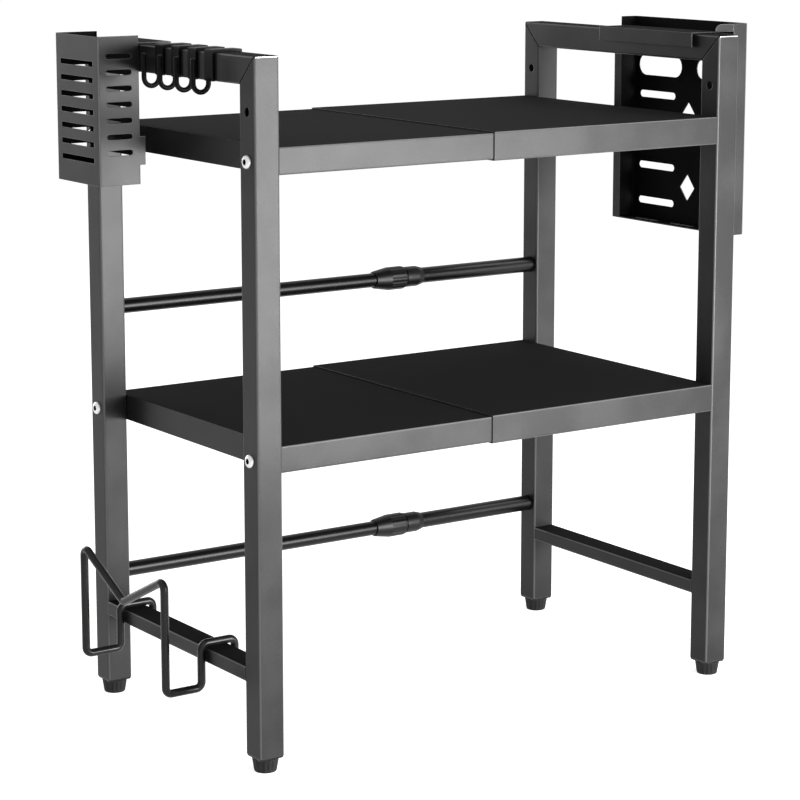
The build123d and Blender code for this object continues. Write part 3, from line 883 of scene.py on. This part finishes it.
@dataclass
class Feet(Assembly):
    """The tube inserts and the ribbed levelling feet of one side."""

    side: Side
    ribs: int = 16
    rib_depth: float = 0.6
    rib_skin: float = 9.0           # what lies nearer to the stud stays round
    rib_band: Pair = (1.5, 10.7)    # the ribbed stretch, from the sole up
    flange_slope: float = 0.94      # the flange's underside against its top
    flange_rim: Pair = (0.8, 1.5)   # where its outer rim lies, as shares of half its width
    stud_radius: float = 4.0
    pad_height: float = 12.7
    pad_profile: tuple[Pair, ...] = (       # from the middle of the hollow sole up to the seat
        (0.5, POLE), (0.5, 7.6), (0.0, 8.2), (0.0, 9.2), (0.2, 9.7), (0.6, 10.0), (1.2, 10.2), (3.0, 10.5),
        (5.4, 10.9), (7.7, 11.3), (10.1, 11.75), (12.0, 12.0), (12.5, 11.9), (12.7, 11.6),
    )

    def build(self) -> None:
        """Models both feet and dresses the inserts."""
        name = self.side.name.lower()
        self.inserts(f"{name}_foot_inserts")
        for end in End:
            self.foot(f"{name}_{end.name.lower()}_foot")

    def inserts(self, node: str) -> None:
        """Slopes the underside of the square flanges in towards the round feet.

        Args:
            node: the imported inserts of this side.
        """
        low, high = (Vector(corner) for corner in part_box(node))
        reach = (high.x - low.x) / 2
        near, far = (share * reach for share in self.flange_rim)
        piece = self.copy_of(node, f"{node}_sloped")
        for end in End:
            place = Vector(((low.x + high.x) / 2, end.value * (high.y - reach), low.z))

            def on_rim(vertex: bmesh.types.BMVert) -> bool:
                """Whether a vertex is on the underside's outer rim, not on its bore."""
                return vertex.co.z < low.z + 0.1 * MM and near < (vertex.co - place).length < far

            with editing(piece) as form:
                pick(piece, form.verts, on_rim)
                bpy.ops.transform.resize(value=(self.flange_slope, self.flange_slope, 1), center_override=place)
        self.stand_in(piece, node)

    def foot(self, node: str) -> None:
        """Models one foot: a rounded sole, a ribbed taper, a collar and the stud above.

        Args:
            node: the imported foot.
        """
        low, high = (Vector(corner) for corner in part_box(node))
        place = Vector(((low.x + high.x) / 2, (low.y + high.y) / 2, low.z))
        stud_top = high.z / MM
        stations = [
            *self.pad_profile, (self.pad_height, self.stud_radius), (stud_top - 0.6, self.stud_radius),
            (stud_top, self.stud_radius - 0.5), (stud_top, POLE),
        ]
        piece = turned(f"{node}_pad", place, Axis.Z, stations, self.ribs * SIDES_PER_GROOVE)
        flute(piece, place, Axis.Z, self.ribs, self.rib_depth, self.rib_band, self.rib_skin)
        self.stand_in(piece, node)


@dataclass
class UtensilBox(Assembly):
    """The slotted box and its hook plate."""

    def build(self) -> None:
        """Coats the box, with painted shade inside it, and dresses its plate."""
        node = "utensil_box"
        piece = self.copy_of(node, "slotted_utensil_box")
        self.shade_inside(piece, node)
        self.stand_in(piece, node)
        self.dress("utensil_box_hook", SHEET_COAT)


@dataclass
class RailHooks(Assembly):
    """The four hooks on the left top rail."""

    count: int = 4

    def build(self) -> None:
        """Dresses the hooks."""
        for number in range(1, self.count + 1):
            self.dress(f"rail_hook_{number}", WIRE_DIP)


@dataclass
class BoardHolder(Assembly):
    """The slotted board holder with its hook plate and the gusset over the front post."""

    gusset_width: float = 23.0
    gusset_round: float = 6.0
    gusset_segments: int = 8
    sheet: float = 1.0
    rail_gap: float = 2.8           # between the top rail and the gusset
    top_gap: float = 0.1            # between the gusset and the wall's top edge

    def build(self) -> None:
        """Models the gusset onto the holder and dresses the plate."""
        node = "board_holder"
        piece = self.copy_of(node, "slotted_board_holder")
        gusset = self.gusset(node)
        bpy.ops.object.select_all(action="DESELECT")
        gusset.select_set(True)
        piece.select_set(True)
        bpy.context.view_layer.objects.active = piece
        bpy.ops.object.join()
        # painted shade inside the holder, on the faces that look into it
        self.shade_inside(piece, node)
        self.stand_in(piece, node)
        self.dress("board_holder_hook", SHEET_COAT)

    def gusset(self, node: str) -> bpy.types.Object:
        """Models the rounded web that carries the holder's front wall over the post.

        Args:
            node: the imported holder.

        Returns:
            The web, standing in the plane of the front wall.
        """
        low, high = (Vector(corner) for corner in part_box(node))
        rail_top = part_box("right_top_rail")[1][2] + self.rail_gap * MM
        width, height = self.gusset_width * MM, high.z - self.top_gap * MM - rail_top
        place = Vector((low.x + 0.5 * self.sheet * MM - width / 2, low.y, rail_top + height / 2))
        bpy.ops.object.select_all(action="DESELECT")
        bpy.ops.mesh.primitive_plane_add(size=1, location=place, rotation=(math.pi / 2, 0, 0))
        web = bpy.context.object
        web.scale = (width, height, 1)
        bpy.ops.object.transform_apply(location=True, rotation=True, scale=True)
        with editing(web) as form:
            pick(web, form.verts, lambda vertex: vertex.co.x < place.x and vertex.co.z > place.z)
            bpy.ops.mesh.bevel(offset=self.gusset_round * MM, segments=self.gusset_segments, affect="VERTICES")
            bpy.ops.mesh.select_all(action="SELECT")
            bpy.ops.mesh.extrude_region_move(TRANSFORM_OT_translate={"value": (0, self.sheet * MM, 0)})
            bpy.ops.mesh.select_all(action="SELECT")
            bpy.ops.mesh.normals_make_consistent(inside=False)
        return web


@dataclass
class LidRack(Assembly):
    """The bent wire rack on the left low rail."""

    def build(self) -> None:
        """Dresses the wire."""
        self.dress("wire_lid_rack", WIRE_COAT)


# ---------------------------------------------------------------- studio

@dataclass(frozen=True)
class SoftBox:
    """A rectangular lamp: its place, the point that it faces and its size in metres, and its watts."""

    name: str
    place: Triple
    aim: Triple
    size: Pair
    watts: float


SOFT_BOXES = (
    # The front faces mirror this one, most of all those at the left.
    SoftBox("front_box", (0.95, -2.36, 0.62), (0, 0, 0.35), (1.35, 1.2), 86.0),
    # The same faces mirror this one near the floor.
    SoftBox("low_box", (0.55, -1.4, 0.22), (0, 0, 0.3), (0.8, 0.42), 15.0),
    # The rounded edges of the tubes mirror this narrow one, as a thin line.
    SoftBox("edge_strip", (-0.2, -2.6, 0.5), (0, 0, 0.35), (0.22, 1.2), 6.0),
    # It lights the back, for the views from behind.
    SoftBox("rear_box", (-0.4, 2.8, 0.9), (0, 0, 0.35), (1.4, 1.2), 24.0),
    # The folds along the shelves' top edges mirror it.
    SoftBox("top_box", (1.05, -0.5, 1.6), (0.1, -0.15, 0.45), (0.8, 0.6), 9.0),
)


@dataclass
class Studio:
    """Floor, lamps, background and the camera at the photograph's angle."""

    camera_mm: Triple = (-1400.1, -2039.4, 779.1)
    camera_yaw: float = 34.356          # degrees from the back towards the right
    camera_pitch: float = 10.097        # degrees down
    focal_pixels: float = 2615.2
    shift_pixels: float = -56.0
    floor_size: float = 60.0            # metres
    floor_glow: float = 0.8             # with the lamps' light this shows white
    even_light: float = 0.25            # the world, to matt surfaces

    def camera(self) -> None:
        """Sets the camera that matches the photograph."""
        data = bpy.data.cameras.new("camera")
        data.sensor_width = SENSOR_MM
        data.lens = self.focal_pixels / IMAGE_PIXELS * SENSOR_MM
        data.shift_y = self.shift_pixels / IMAGE_PIXELS
        data.clip_end = 50.0
        camera = bpy.data.objects.new("camera", data)
        camera.location = Vector(self.camera_mm) * MM
        camera.rotation_euler = (math.radians(90 - self.camera_pitch), 0, math.radians(-self.camera_yaw))
        bpy.context.scene.collection.objects.link(camera)
        bpy.context.scene.camera = camera

    def seen(self, tree: bpy.types.NodeTree) -> bpy.types.NodeSocket:
        """Tells the rays that show the background as it is: from the camera, off gloss and through glass.

        Args:
            tree: the node tree that asks.

        Returns:
            An output that is 1 for those rays.
        """
        rays = add_node(tree, "ShaderNodeLightPath").outputs
        shiny = add_node(tree, "ShaderNodeMath", links={0: rays["Is Glossy Ray"], 1: rays["Is Transmission Ray"]},
                         operation="MAXIMUM")
        return add_node(tree, "ShaderNodeMath", links={0: rays["Is Camera Ray"], 1: shiny.outputs[0]},
                        operation="MAXIMUM").outputs[0]

    def floor(self) -> None:
        """Lays the plain pale floor, white to the camera apart from the soft shadow on it."""
        bpy.ops.mesh.primitive_plane_add(size=self.floor_size)
        floor = bpy.context.object
        floor.name = "floor"
        paint = bpy.data.materials.new("floor_paint")
        paint.use_nodes = True
        tree = paint.node_tree
        tree.nodes.clear()
        lit = add_node(tree, "ShaderNodeBsdfDiffuse", {"Color": linear("f2f2f2")})
        white = add_node(tree, "ShaderNodeEmission", {"Color": linear("ffffff"), "Strength": self.floor_glow})
        both = add_node(tree, "ShaderNodeAddShader", links={0: lit.outputs[0], 1: white.outputs[0]})
        shown = add_node(tree, "ShaderNodeMixShader", links={0: self.seen(tree), 1: lit.outputs[0],
                                                             2: both.outputs[0]})
        add_node(tree, "ShaderNodeOutputMaterial", links={"Surface": shown.outputs[0]})
        floor.data.materials.append(paint)

    def lamp(self, box: SoftBox) -> None:
        """Hangs a soft box, which the camera doesn't see.

        Args:
            box: what it is and where it hangs.
        """
        data = bpy.data.lights.new(box.name, "AREA")
        data.shape = "RECTANGLE"
        data.size, data.size_y = box.size
        data.energy = box.watts
        lamp = bpy.data.objects.new(box.name, data)
        lamp.visible_camera = False
        lamp.location = box.place
        lamp.rotation_euler = (Vector(box.aim) - Vector(box.place)).to_track_quat("-Z", "Y").to_euler()
        bpy.context.scene.collection.objects.link(lamp)

    def world(self) -> None:
        """A white background for the camera and for gloss, and a dimmer even light for the rest."""
        world = bpy.data.worlds.new("studio")
        world.use_nodes = True
        bpy.context.scene.world = world
        tree = world.node_tree
        tree.nodes.clear()
        dim = add_node(tree, "ShaderNodeBackground", {"Color": linear("ffffff"), "Strength": self.even_light})
        white = add_node(tree, "ShaderNodeBackground", {"Color": linear("ffffff"), "Strength": 1.0})
        shown = add_node(tree, "ShaderNodeMixShader", links={0: self.seen(tree), 1: dim.outputs[0],
                                                             2: white.outputs[0]})
        add_node(tree, "ShaderNodeOutputWorld", links={"Surface": shown.outputs[0]})

    def build(self) -> None:
        """Builds the whole studio."""
        bpy.context.scene.view_settings.view_transform = "Standard"
        self.camera()
        self.floor()
        self.world()
        for box in SOFT_BOXES:
            self.lamp(box)


def main() -> None:
    """Builds the rack's looks and the studio, piece by piece."""
    logging.basicConfig(level=logging.INFO, format="%(name)s: %(message)s")
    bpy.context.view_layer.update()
    for side in Side:
        for group in (EndFrame(side), ShelfScrews(side), Feet(side)):
            group.build()
    for tier in Tier:
        for group in (Shelf(tier), Rod(tier)):
            group.build()
    for group in (UtensilBox(), RailHooks(), BoardHolder(), LidRack()):
        group.build()
    Studio().build()


if __name__ == "__main__":
    main()
